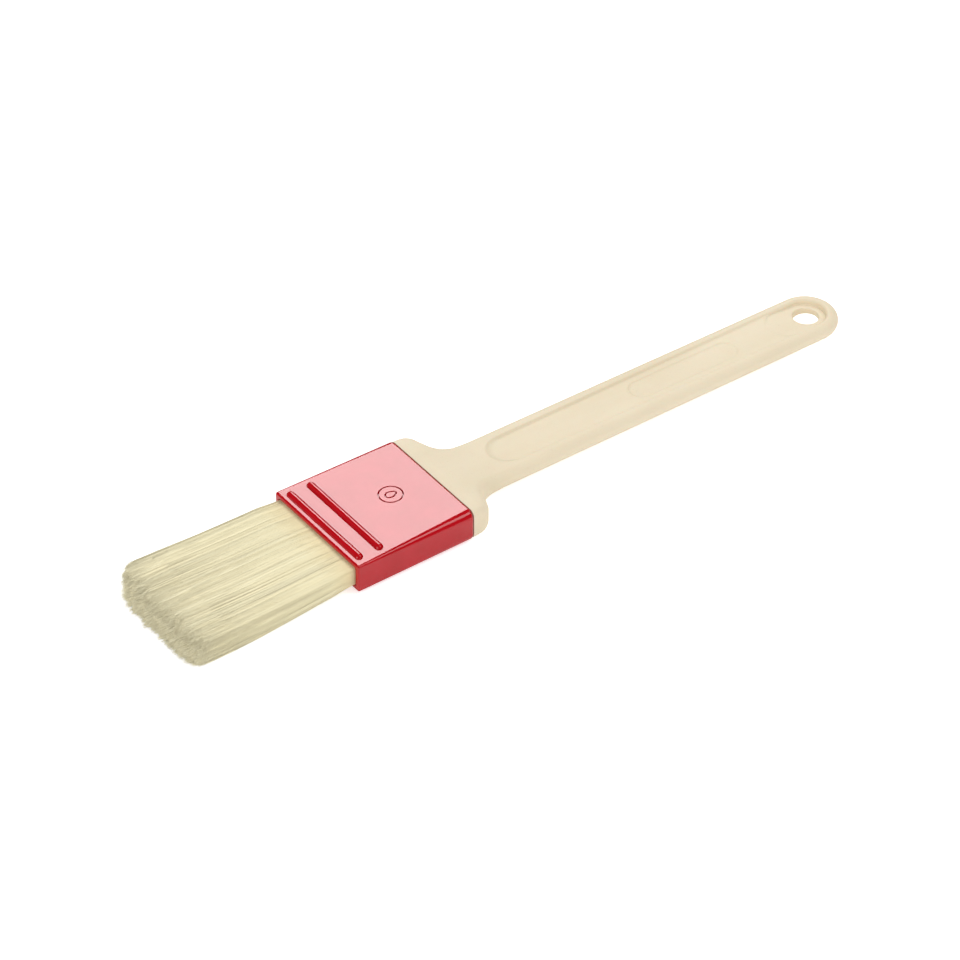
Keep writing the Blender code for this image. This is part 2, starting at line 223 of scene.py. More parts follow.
# Scales of the object coordinates that stretch a pattern along one axis.
EVEN = (1.0, 1.0, 1.0)
MOULD_FLOW = (0.25, 1.0, 1.0)
SCUFFS = (1.0, 6.0, 1.0)
HAIR_GRAIN = (0.15, 1.0, 1.0)
CORE_GRAIN = (0.04, 1.0, 1.0)

# A Mix node's sockets for colours.
MIX_FACTOR, MIX_FIRST_COLOUR, MIX_SECOND_COLOUR, MIX_COLOUR = 0, 6, 7, 2


class Nodes:
    """A short way to build one material's node tree."""

    def __init__(self, name):
        self.material = bpy.data.materials.new(name)
        self.material.use_nodes = True
        self.tree = self.material.node_tree
        self.shader = self.tree.nodes["Principled BSDF"]

    def add(self, kind, **values):
        node = self.tree.nodes.new(kind)
        for key, value in values.items():
            if hasattr(node, key):
                setattr(node, key, value)
            else:
                node.inputs[key.replace("_", " ")].default_value = value
        return node

    def link(self, output, socket):
        self.tree.links.new(output, socket)

    def noise(self, vector, scale, detail=3.0, roughness=0.5):
        node = self.add("ShaderNodeTexNoise", Scale=scale, Detail=detail, Roughness=roughness)
        self.link(vector, node.inputs["Vector"])
        return node.outputs["Fac"]

    def stretched(self, scale):
        """Object coordinates scaled by three numbers."""
        coordinates = self.add("ShaderNodeTexCoord")
        mapping = self.add("ShaderNodeMapping")
        mapping.inputs["Scale"].default_value = scale
        self.link(coordinates.outputs["Object"], mapping.inputs["Vector"])
        return mapping.outputs["Vector"]

    def span(self, value, low, high, from_low=0.3, from_high=0.7):
        node = self.add("ShaderNodeMapRange")
        node.inputs["From Min"].default_value = from_low
        node.inputs["From Max"].default_value = from_high
        node.inputs["To Min"].default_value = low
        node.inputs["To Max"].default_value = high
        self.link(value, node.inputs["Value"])
        return node.outputs["Result"]

    def blend(self, share, first, second):
        """Mixes two colours, each a tuple or an output."""
        node = self.tree.nodes.new("ShaderNodeMix")
        node.data_type = "RGBA"
        self.link(share, node.inputs[MIX_FACTOR])
        for socket, colour in ((MIX_FIRST_COLOUR, first), (MIX_SECOND_COLOUR, second)):
            if isinstance(colour, tuple):
                node.inputs[socket].default_value = (*colour, 1.0)
            else:
                self.link(colour, node.inputs[socket])
        return node.outputs[MIX_COLOUR]

    def bump(self, height, distance, strength=1.0, normal=None):
        node = self.add("ShaderNodeBump", Strength=strength, Distance=distance)
        self.link(height, node.inputs["Height"])
        if normal is not None:
            self.link(normal, node.inputs["Normal"])
        return node.outputs["Normal"]

    def set(self, **values):
        for key, value in values.items():
            self.shader.inputs[key.replace("_", " ")].default_value = value

    def wire(self, colour, roughness, normal=None):
        """Links the outputs that drive the shader."""
        self.link(colour, self.shader.inputs["Base Color"])
        if roughness is not None:
            self.link(roughness, self.shader.inputs["Roughness"])
        if normal is not None:
            self.link(normal, self.shader.inputs["Normal"])


def cream_plastic():
    n = Nodes("cream_plastic")
    even, flow = n.stretched(EVEN), n.stretched(MOULD_FLOW)
    clouds = n.noise(flow, scale=90.0, detail=4.0)
    colour = n.blend(n.span(clouds, low=0.0, high=1.0), CREAM_DARK, CREAM_LIGHT)
    specks = n.noise(even, scale=2400.0, detail=2.0)
    specked = n.span(specks, low=0.0, high=0.30, from_low=0.60, from_high=0.75)
    colour = n.blend(specked, colour, CREAM_SPECK)
    edges = n.add("ShaderNodeNewGeometry").outputs["Pointiness"]
    worn = n.span(edges, low=0.0, high=0.5, from_low=0.52, from_high=0.60)
    colour = n.blend(worn, colour, CREAM_WORN)
    roughness = n.span(n.noise(even, scale=700.0), low=0.50, high=0.64)
    grain = n.noise(even, scale=3000.0, detail=3.0, roughness=0.6)
    ripple = n.noise(flow, scale=160.0, detail=2.0)
    normal = n.bump(grain, distance=0.00003, strength=0.5)
    n.wire(colour, roughness, n.bump(ripple, distance=0.00015, strength=0.35, normal=normal))
    n.set(IOR=1.42, Subsurface_Weight=0.08, Subsurface_Scale=0.002)
    return n.material


def red_plastic():
    n = Nodes("red_gloss_plastic")
    even, scuffs = n.stretched(EVEN), n.stretched(SCUFFS)
    clouds = n.noise(even, scale=130.0, detail=3.0)
    colour = n.blend(n.span(clouds, low=0.0, high=1.0), RED_DARK, RED_LIGHT)
    marks = n.noise(scuffs, scale=420.0, detail=5.0, roughness=0.65)
    ripple = n.noise(even, scale=110.0, detail=2.0)
    normal = n.bump(ripple, distance=0.00004, strength=0.35)
    grain = n.noise(even, scale=2600.0, detail=2.0)
    normal = n.bump(grain, distance=0.000004, strength=0.4, normal=normal)
    n.wire(colour, n.span(marks, low=0.04, high=0.11), normal)
    n.set(IOR=1.52)
    return n.material


def bristle_hair():
    n = Nodes("natural_bristle")
    tone = n.add("ShaderNodeAttribute", attribute_name="tone").outputs["Fac"]
    along = n.add("ShaderNodeAttribute", attribute_name="along").outputs["Fac"]
    colour = n.blend(tone, HAIR_DARK, HAIR_LIGHT)
    tips = n.span(along, low=0.0, high=0.35, from_low=0.80, from_high=1.0)
    colour = n.blend(tips, colour, HAIR_TIP)
    roots = n.span(along, low=0.45, high=0.0, from_low=0.0, from_high=0.16)
    colour = n.blend(roots, colour, HAIR_ROOT)
    # Painted shade and a painted red reflection of the ferrule, on the bristles where they leave the mouth.
    mouth = n.span(along, low=0.55, high=0.0, from_low=-0.01, from_high=0.02)
    colour = n.blend(mouth, colour, HAIR_MOUTH_PAINTED_SHADE)
    fine = n.stretched(HAIR_GRAIN)
    streaks = n.span(n.noise(fine, scale=1500.0), low=0.0, high=0.14)
    roughness = n.span(n.noise(fine, scale=900.0), low=0.38, high=0.55)
    n.wire(n.blend(streaks, colour, HAIR_STREAK), roughness)
    n.set(IOR=1.45, Specular_IOR_Level=0.25)
    return n.material


def bristle_core_painted_shade():
    n = Nodes("bristle_core_painted_shade")
    streaks = n.noise(n.stretched(CORE_GRAIN), scale=3000.0, detail=4.0, roughness=0.6)
    # Colours darker than the bristles': painted shade between the bristles.
    colour = n.blend(n.span(streaks, low=0.0, high=1.0), CORE_SHADE_DARK, CORE_SHADE_LIGHT)
    normal = n.bump(streaks, distance=0.0001, strength=0.8)
    n.wire(colour, n.span(streaks, low=0.5, high=0.7), normal)
    return n.material


def hidden_plastic():
    n = Nodes("grey_strip_plastic")
    even = n.stretched(EVEN)
    clouds = n.noise(even, scale=300.0)
    colour = n.blend(n.span(clouds, low=0.0, high=1.0), STRIP_DARK, STRIP_LIGHT)
    normal = n.bump(n.noise(even, scale=1500.0), distance=0.00003, strength=0.5)
    n.wire(colour, n.span(clouds, low=0.5, high=0.7), normal)
    return n.material


def cast_resin():
    n = Nodes("amber_resin")
    even = n.stretched(EVEN)
    clouds = n.noise(even, scale=220.0, detail=4.0)
    colour = n.blend(n.span(clouds, low=0.0, high=1.0), RESIN_DARK, RESIN_LIGHT)
    normal = n.bump(n.noise(even, scale=900.0), distance=0.00005, strength=0.5)
    n.wire(colour, n.span(clouds, low=0.2, high=0.35), normal)
    return n.material


# ---------------------------------------------------------------- mesh helpers


def new_object(name, bm, material, angle=SHARP_ANGLE):
    mesh = bpy.data.meshes.new(name)
    bm.to_mesh(mesh)
    bm.free()
    mesh.shade_smooth()
    mesh.set_sharp_from_angle(angle=angle)
    mesh.materials.append(material)
    obj = bpy.data.objects.new(name, mesh)
    bpy.context.scene.collection.objects.link(obj)
    return obj


def boolean(obj, other, operation):
    """Applies one Boolean to obj and removes the other object."""
    modifier = obj.modifiers.new(operation, "BOOLEAN")
    modifier.operation = operation
    modifier.solver = "EXACT"
    modifier.object = other
    evaluated = obj.evaluated_get(bpy.context.evaluated_depsgraph_get())
    mesh = bpy.data.meshes.new_from_object(evaluated)
    obj.modifiers.clear()
    old = obj.data
    obj.data = mesh
    bpy.data.meshes.remove(old)
    bpy.data.objects.remove(other)
    mesh.name = obj.name
    mesh.shade_smooth()
    mesh.set_sharp_from_angle(angle=SHARP_ANGLE)


def rounded_section(half_width, half_thickness, radius, middle=0.0, steps=CORNER_STEPS):
    """The (y, z) points round a rectangle with round corners."""
    radius = min(radius, CLEAR_SHARE * half_width, CLEAR_SHARE * half_thickness)
    points = []
    for side_y, side_z, first in ((1, 1, 0.0), (-1, 1, 0.5), (-1, -1, 1.0), (1, -1, 1.5)):
        for step in range(steps + 1):
            angle = pi * (first + 0.5 * step / steps)
            y = side_y * (half_width - radius) + radius * cos(angle)
            points.append((y, middle + side_z * (half_thickness - radius) + radius * sin(angle)))
    return points


def loft(loops, closed=False):
    """A tube through the loops, capped at both ends or closed into a ring."""
    bm = bmesh.new()
    rings = [[bm.verts.new(point) for point in loop] for loop in loops]
    count = len(rings[0])
    for first, second in zip(rings, rings[1:] + rings[:1] if closed else rings[1:]):
        for i in range(count):
            j = (i + 1) % count
            bm.faces.new((first[i], first[j], second[j], second[i]))
    if not closed:
        bm.faces.new(rings[0])
        bm.faces.new(rings[-1])
    bmesh.ops.recalc_face_normals(bm, faces=bm.faces)
    return bm


def loft_along_x(sections):
    return loft([[(x, y, MIDDLE_Z + z) for y, z in points] for x, points in sections])


# ---------------------------------------------------------------- ferrule


def ferrule_half_thickness(x):
    return mix(MOUTH_HALF_THICKNESS, REAR_HALF_THICKNESS, (x - MOUTH_X) / FERRULE_LENGTH)


def cavity_half_thickness(x):
    return ferrule_half_thickness(x) - WALL


def ferrule_body(material):
    """The sleeve's outer shape, with every edge of both rims rounded."""
    turns = np.linspace(0, pi / 2, LIP_POINTS)
    mouth = [(MOUTH_X + LIP_RADIUS * (1 - cos(t)), LIP_RADIUS * (1 - sin(t))) for t in turns]
    rear = [(REAR_X - (x - MOUTH_X), inset) for x, inset in reversed(mouth)]
    sections = []
    for x, inset in mouth + rear:
        share = (x - MOUTH_X) / FERRULE_LENGTH
        radius = mix(MOUTH_EDGE_RADIUS, REAR_EDGE_RADIUS, share) - LIP_CORNER_LOSS * inset
        half_width, half = FERRULE_HALF_WIDTH - inset, ferrule_half_thickness(x) - inset
        sections.append((x, rounded_section(half_width, half, radius, steps=FERRULE_CORNER_STEPS)))
    return new_object("ferrule_shell", loft_along_x(sections), material)


def rib_body(x, side, material):
    """A round bar across one face with domed ends, half sunk into it."""
    centre_z = MIDDLE_Z + side * (ferrule_half_thickness(x) - RIB_SINK)
    reach = RIB_LENGTH / 2 - RIB_RADIUS
    domed = [RIB_DOME_ANGLE * step / RIB_DOME_STEPS for step in range(RIB_DOME_STEPS + 1)]
    stations = [(-reach - RIB_RADIUS * sin(a), RIB_RADIUS * cos(a)) for a in reversed(domed)]
    stations += [(mix(-reach, reach, step / RIB_SPANS), RIB_RADIUS) for step in range(1, RIB_SPANS)]
    stations += [(reach + RIB_RADIUS * sin(a), RIB_RADIUS * cos(a)) for a in domed]
    turns = [2 * pi * (segment + 0.5) / RIB_SEGMENTS for segment in range(RIB_SEGMENTS)]
    loops = [[(x + r * cos(a), y, centre_z + r * sin(a)) for a in turns] for y, r in stations]
    return new_object("rib", loft(loops), material)


def cavity_body(material):
    """The sleeve's inside, flaring a little at the mouth."""
    flared = [(MOUTH_X + along * FLARE_RUN, out * FLARE) for along, out in FLARE_SHAPE]
    sections = []
    for x, grown in flared + [(REAR_X + FLARE_RUN, 0.0)]:
        half = cavity_half_thickness(x) + grown
        sections.append((x, rounded_section(CAVITY_HALF_WIDTH + grown, half, INNER_EDGE_RADIUS + grown)))
    return new_object("cavity", loft_along_x(sections), material)


def engraved_line(points, material):
    """A thin prism along a closed line on the ferrule's upper face, for cutting a shallow groove."""
    loops = []
    for i, (x, y) in enumerate(points):
        before, after = points[i - 1], points[(i + 1) % len(points)]
        along = Vector((after[0] - before[0], after[1] - before[1])).normalized()
        across = Vector((-along.y, along.x)) * MARK_LINE / 2
        floor_x, floor_y = GROOVE_FLOOR_SHARE * across.x, GROOVE_FLOOR_SHARE * across.y
        top = MIDDLE_Z + ferrule_half_thickness(x)
        low, high = top - MARK_DEPTH, top + 2 * MARK_DEPTH
        rim = [(x + across.x, y + across.y, high), (x - across.x, y - across.y, high)]
        loops.append(rim + [(x - floor_x, y - floor_y, low), (x + floor_x, y + floor_y, low)])
    return new_object("groove", loft(loops, closed=True), material)


def emblem_lines():
    """A plain ring with a plain drop inside it."""
    centre_x = MOUTH_X + MARK_OFFSET
    turns = np.linspace(0, 2 * pi, RING_POINTS, endpoint=False)
    ring = [(centre_x + MARK_RADIUS * cos(a), MARK_RADIUS * sin(a)) for a in turns]
    drop = []
    for a in np.linspace(0, 2 * pi, DROP_POINTS, endpoint=False):
        reach = DROP_RADIUS * (1.0 + DROP_PEAK * max(cos(a), 0.0) ** DROP_PEAK_POWER)
        drop.append((centre_x - DROP_SHIFT + reach * cos(a), DROP_NARROWING * reach * sin(a)))
    return ring, drop


def make_ferrule():
    material = red_plastic()
    ferrule = ferrule_body(material)
    for offset in RIB_OFFSETS:
        for side in (1, -1):
            boolean(ferrule, rib_body(MOUTH_X + offset, side, material), "UNION")
    boolean(ferrule, cavity_body(material), "DIFFERENCE")
    for line in emblem_lines():
        boolean(ferrule, engraved_line(line, material), "DIFFERENCE")
    flat = ferrule.modifiers.new("flat faces", "WEIGHTED_NORMAL")
    flat.keep_sharp = True
    flat.weight = 100  # large faces count most
    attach(ferrule, "root")
    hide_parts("ferrule")


# ---------------------------------------------------------------- handle


def steps_between(first, last, count):
    """The points that cut the line from first to last into count spans, without its ends."""
    return [(mix(first[0], last[0], s / count), mix(first[1], last[1], s / count)) for s in range(1, count)]


def shoulder_outline():
    corner_x = REAR_X + SHOULDER_STRAIGHT
    corner_y = SHOULDER_HALF_WIDTH - SHOULDER_CORNER_RADIUS
    spans = SHOULDER_SPANS
    points = [(mix(REAR_X + GAP, corner_x, s / spans), SHOULDER_HALF_WIDTH) for s in range(spans)]
    turns = np.linspace(0.0, SHOULDER_SLOPE, SHOULDER_ARC_POINTS)
    radius = SHOULDER_CORNER_RADIUS
    points += [(corner_x + radius * sin(t), corner_y + radius * cos(t)) for t in turns]
    radius = NECK_FILLET_RADIUS
    inner_y = NECK_HALF_WIDTH + radius
    fillet = [(NECK_X - radius * sin(t), inner_y - radius * cos(t)) for t in turns[::-1]]
    return points + steps_between(points[-1], fillet[0], spans) + fillet


def handle_outline():
    """The outline without its front edge: along +Y from the ferrule to the round end, and back along -Y."""
    points = shoulder_outline()
    points += steps_between((NECK_X, NECK_HALF_WIDTH), (HOLE_X, END_RADIUS), GRIP_SPANS)
    turns = np.linspace(0, pi / 2, END_ARC_POINTS)
    points += [(HOLE_X + END_RADIUS * sin(t), END_RADIUS * cos(t)) for t in turns]
    half = np.array(points)
    mirrored = half[-2::-1] * (1, -1)
    return np.vstack([half, mirrored])


OUTLINE = handle_outline()


def line_distance(points, line):
    """Distance from each (x, y) to a line through many points."""
    start, step = line[:-1], np.diff(line, axis=0)
    length = (step**2).sum(1)
    nearest = np.empty(len(points))
    for first in range(0, len(points), CHUNK):
        chunk = points[first:first + CHUNK, None]
        share = np.clip(((chunk - start) * step).sum(2) / length, 0, 1)
        gap = chunk - (start + share[..., None] * step)
        nearest[first:first + CHUNK] = np.sqrt((gap**2).sum(2)).min(1)
    return nearest


def grip_half_thickness(x):
    grip = mix(NECK_HALF_THICKNESS, END_HALF_THICKNESS, (x - THIN_X) / (END_X - THIN_X))
    return mix(SHOULDER_HALF_THICKNESS, grip, smooth_share(x, REAR_X + GAP, THIN_X))


def handle_edge_radius(x):
    return mix(SHOULDER_EDGE_RADIUS, grip_half_thickness(x), smooth_share(x, REAR_X, THIN_X))


def slot_depth(points, start, start_radius, end, end_radius):
    """How far inside a slot with round ends each point lies; negative outside."""
    share = np.clip((points[:, 0] - start) / (end - start), 0, 1)
    axis = mix(start, end, share)
    return mix(start_radius, end_radius, share) - np.hypot(points[:, 0] - axis, points[:, 1])


CHANNEL = (CHANNEL_START + CHANNEL_HALF_WIDTH, CHANNEL_HALF_WIDTH, HOLE_X, CHANNEL_END_RADIUS)
DISH = (DISH_START + DISH_RADIUS, DISH_RADIUS, HOLE_X, DISH_RADIUS)
PANEL = (PANEL_START + PANEL_HALF_WIDTH, PANEL_HALF_WIDTH, PANEL_END - PANEL_HALF_WIDTH, PANEL_HALF_WIDTH)


def handle_height(points):
    """Half thickness of the handle at each (x, y)."""
    x = points[:, 0]
    half, radius = grip_half_thickness(x), handle_edge_radius(x)
    inside = np.minimum(line_distance(points, OUTLINE), radius)
    height = half - radius + np.sqrt(np.maximum(radius**2 - (radius - inside) ** 2, 0.0))
    softness = 1.0 - smooth_share(x, CHANNEL_START, CHANNEL_START + CHANNEL_SOFT_LENGTH)
    run = mix(CHANNEL_WALL_RUN, CHANNEL_START_RUN, softness)
    height = mix(height, WEB_HALF_THICKNESS, smooth_share(slot_depth(points, *CHANNEL), 0.0, run))
    height = mix(height, PANEL_HALF_THICKNESS, smooth_share(slot_depth(points, *PANEL), 0.0, PANEL_WALL_RUN))
    floor = mix(WEB_HALF_THICKNESS, DISH_FLOOR, (x - DISH_START) / (HOLE_X + DISH_RADIUS - DISH_START))
    dished = smooth_share(slot_depth(points, *DISH), 0.0, DISH_WALL_RUN)
    height = mix(height, np.minimum(height, floor), dished)
    hole = np.clip(np.hypot(x - HOLE_X, points[:, 1]) - HOLE_RADIUS, 0.0, HOLE_EDGE)
    return height - (HOLE_EDGE - np.sqrt(HOLE_EDGE**2 - (HOLE_EDGE - hole) ** 2))


def slot_loop(slot, inset):
    """The outline of a slot with round ends, moved inwards."""
    start, start_radius, end, end_radius = slot
    ends = ((start, start_radius - inset, 0.5), (end, end_radius - inset, -0.5))
    loop = []
    for (centre, radius, first), (far_x, far_radius, _) in zip(ends, ends[::-1]):
        angles = pi * (first + np.linspace(0, 1, SLOT_ARC_POINTS))
        loop += [(centre + radius * cos(a), radius * sin(a)) for a in angles]
        side = -1 if first > 0 else 1
        spans = max(int(abs(far_x - loop[-1][0]) / SLOT_SPACING), 2)
        loop += steps_between(loop[-1], (far_x, side * far_radius), spans)
    return np.array(loop)


def inset_outline(distance):
    """The handle's outline, moved inwards."""
    ahead = np.gradient(OUTLINE, axis=0)
    ahead[0], ahead[-1] = (1.0, 0.0), (-1.0, 0.0)
    ahead /= np.hypot(*ahead.T)[:, None]
    inward = np.stack([ahead[:, 1], -ahead[:, 0]], 1)
    return OUTLINE + inward * distance


def relief_body(name, loops, open_lines, spots, inside_test, height, material):
    """A closed body between a height map and its mirror image, on a plan cut along loops and lines."""
    points, edges = [], []
    for line, is_closed in [(loop, True) for loop in loops] + [(line, False) for line in open_lines]:
        first = len(points)
        points += [tuple(p) for p in line]
        edges += [(first + i, first + i + 1) for i in range(len(line) - 1)]
        if is_closed:
            edges.append((len(points) - 1, first))
    points += [tuple(p) for p in spots]
    scaled = [Vector((x / MM, y / MM)) for x, y in points]
    plan, _, triangles, *_ = delaunay_2d_cdt(scaled, edges, [], 0, PLAN_TOLERANCE_MM)
    plan = np.array([tuple(v) for v in plan]) * MM
    triangles = np.array([t for t in triangles if len(t) == 3])
    centres = plan[triangles].mean(1)
    triangles = triangles[inside_test(centres)]
    used, triangles = np.unique(triangles, return_inverse=True)
    triangles = triangles.reshape(-1, 3)
    plan = plan[used]
    levels = height(plan)
    count = len(plan)
    top = np.column_stack([plan, MIDDLE_Z + levels])
    bottom = np.column_stack([plan, MIDDLE_Z - levels])
    directed = np.vstack([triangles[:, [0, 1]], triangles[:, [1, 2]], triangles[:, [2, 0]]])
    known = {tuple(e) for e in directed}
    rim = [e for e in known if (e[1], e[0]) not in known]
    faces = [tuple(t) for t in triangles] + [tuple(t[::-1] + count) for t in triangles]
    faces += [(b, a, a + count, b + count) for a, b in rim]
    mesh = bpy.data.meshes.new(name)
    mesh.from_pydata(np.vstack([top, bottom]).tolist(), [], [tuple(map(int, f)) for f in faces])
    bm = bmesh.new()
    bm.from_mesh(mesh)
    bpy.data.meshes.remove(mesh)
    bmesh.ops.remove_doubles(bm, verts=bm.verts, dist=MERGE_DISTANCE)
    bmesh.ops.recalc_face_normals(bm, faces=bm.faces)
    return new_object(name, bm, material, HANDLE_SHARP_ANGLE)


def inside_handle(points):
    """Whether each (x, y) is within the handle's outline and outside its hole."""
    half = OUTLINE[:len(OUTLINE) // 2 + 1]
    x, y = points.T
    within = (x > REAR_X + GAP) & (x < END_X) & (np.abs(y) < np.interp(x, half[:, 0], half[:, 1]))
    return within & (np.hypot(x - HOLE_X, y) > HOLE_RADIUS)


def make_handle():
    material = cream_plastic()
    turns = np.linspace(0, pi / 2, EDGE_RINGS)[1:-1]
    rings = [inset_outline(SHOULDER_EDGE_RADIUS * (1 - cos(t))) for t in turns]
    rings += [inset_outline(inset) for inset in INNER_RINGS]
    front_y = np.linspace(-FRONT_HALF_WIDTH_MM, FRONT_HALF_WIDTH_MM, FRONT_POINTS) * MM
    outline = np.vstack([OUTLINE, [[REAR_X + GAP, y] for y in front_y]])
    walls = (
        (CHANNEL, CHANNEL_WALL_RUN, CHANNEL_RINGS), (DISH, DISH_WALL_RUN, DISH_RINGS),
        (PANEL, PANEL_WALL_RUN, PANEL_RINGS),
    )
    slots = [slot_loop(slot, run * s) for slot, run, count in walls for s in np.linspace(0, 1, count)]
    turns = np.linspace(0, 2 * pi, HOLE_POINTS, endpoint=False)
    radii = HOLE_RADIUS + HOLE_EDGE * np.array(HOLE_RINGS)
    circles = [np.stack([HOLE_X + r * np.cos(turns), r * np.sin(turns)], 1) for r in radii]
    grid_x = np.arange(REAR_X + GAP, END_X, GRID_X)
    grid_y = np.arange(-GRID_HALF_WIDTH_MM, GRID_HALF_WIDTH_MM + 0.1, GRID_Y_MM) * MM
    spots = np.stack([axis.ravel() for axis in np.meshgrid(grid_x, grid_y, indexing="ij")], 1)
    spots = spots[inside_handle(spots) & (line_distance(spots, OUTLINE) > OUTLINE_CLEARANCE)]
    spots = spots[spots[:, 0] > REAR_X + 2 * GAP]
    for line in slots + circles:
        spots = spots[line_distance(spots, line) > LINE_CLEARANCE]
    handle = relief_body(
        "handle_moulding", [outline] + slots + circles, rings, spots, inside_handle, handle_height, material
    )

    sections = []
    for x in (TONGUE_X, TONGUE_X + GAP, REAR_X - GAP, REAR_X + 4 * GAP):
        shrink = GAP if x == TONGUE_X else 0.0
        half = cavity_half_thickness(min(x, REAR_X)) - GAP - shrink
        sections.append((x, rounded_section(CAVITY_HALF_WIDTH - GAP - shrink, half, TONGUE_EDGE_RADIUS)))
    boolean(handle, new_object("tongue", loft_along_x(sections), material), "UNION")
    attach(handle, "root")
    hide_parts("handle")


# ---------------------------------------------------------------- bristles

SURFACE_SHARE = 0.85  # of the pack's surface in a bristle's shading, against its own roundness
END_FACE_START = 0.82  # share of the free length where the end face's shading starts
END_FACE_NORMAL = (-0.42, -0.12, 0.90)
SIDE_POWER = 14  # how suddenly the shading turns at the pack's sides
SIDE_LIFT, FACE_LIFT, MIDDLE_LIFT = 0.40, 0.75, 0.25  # of that shading's z

END_MARGIN = 0.4 * MM
END_LEAN = 3.0 * MM  # how much shorter the pack's top is cut
EDGE_WEAR, SIDE_WEAR, CORNER_WEAR = 1.8 * MM, 2.5 * MM, 3.0 * MM
LENGTH_SPREAD = 0.60 * MM
BROKEN_SHARE, BROKEN_LENGTH = 0.12, 3.0  # the length in mm

# Neighbouring bristles form small locks, counted over half the pack's width and half its thickness.
LOCKS_ACROSS, LOCKS_THROUGH = 17, 3.2
LOCK_ROWS, LOCK_COLUMNS = 20, 4  # of each sign, with room for the skew
LOCK_SKEW, LOCK_SKEW_TURNS = 0.35, 9
LOCK_PULL_ACROSS, LOCK_PULL_THROUGH = 0.25, 0.5
LOCK_SPREAD = 0.45 * MM  # of the locks' lengths
LOCK_CUTS = random.normal(0, LOCK_SPREAD, (2 * LOCK_ROWS + 1, 2 * LOCK_COLUMNS + 1))

SIDE_SQUEEZE = 0.16  # how much thinner the pack is at its sides
BEND_Y, WAVE_Y, WAVE_Y_TURNS = 0.20, 0.08, 1.7
BEND_Z, WAVE_Z, WAVE_Z_TURNS = 0.11, 0.03, 1.3
STRAY_SHARE, STRAY_Y, STRAY_Z = 0.03, 0.9 * MM, 0.5 * MM
FLOOR_CLEARANCE = 0.15 * MM

OUTER_COUNT, INNER_COUNT = 5200, 8400
OUTER_SEGMENTS, INNER_SEGMENTS = 11, 4
OUTER_START, INNER_START = -3.0 * MM, 42.0 * MM  # outside the mouth
START_SPREAD = 2.0 * MM
OUTER_DEPTH, OUTER_DEPTH_POWER = 0.22, 1.3  # the layer that the outer bristles fill
ON_SIDES_SHARE = 0.18  # of the outer bristles
HAIR_RADII = (0.075 * MM, 0.115 * MM)
HAIR_CORNERS = 3
HAIR_TAPER, HAIR_END_RADIUS = 0.55, 0.28  # shares of the radius

CORE_SETBACK = 7.5 * MM  # of the core's end from the tips
CORE_SHRINK_START, CORE_SHRINK_RUN = 4.0 * MM, 6.0 * MM  # it shrinks from inside the mouth
CORE_THICKNESS_SHARE, CORE_WIDTH_SHARE = 0.90, 0.955
CORE_EDGE_SHARE = 0.9
CORE_ROOT_STATIONS, CORE_FREE_STATIONS = 5, 13


def swell(x, root, tip):
    """A half size of the pack: as in the ferrule, then swelling at the mouth and spreading to the tips."""
    out = MOUTH_X - x
    swollen = mix(root, root + BULGE, smooth_share(out, 0.0, BULGE_LENGTH))
    return mix(swollen, tip, smooth_share(out, 0.0, SPREAD_LENGTH))


def pack_half_width(x):
    return swell(x, CAVITY_HALF_WIDTH - GAP, TIP_HALF_WIDTH)


def pack_half_thickness(x):
    return swell(x, cavity_half_thickness(np.maximum(x, MOUTH_X)) - GAP, TIP_HALF_THICKNESS)


def row_inner_level(x):
    return mix(GAP / 2, STRIP_HALF_THICKNESS + GAP, smooth_share(x, ROW_JOIN_X, strip_low.x - 2 * GAP))


def droop(share):
    """How far the pack has sunk at a share of its free length."""
    return DROOP * smooth_share(share, 0.0, DROOP_END)


def strand_reach(across, level):
    """Free length of a bristle whose place in the pack is (across, level), each from -1 to 1."""
    lean = END_LEAN * (0.5 + 0.5 * level)
    edges = EDGE_WEAR * np.abs(level) ** 4
    sides = SIDE_WEAR * np.abs(across) ** 8
    worn_corner = CORNER_WEAR * np.clip(across, 0, 1) ** 5 * (0.5 - 0.5 * level)
    return FREE_LENGTH - END_MARGIN - lean - edges - sides - worn_corner


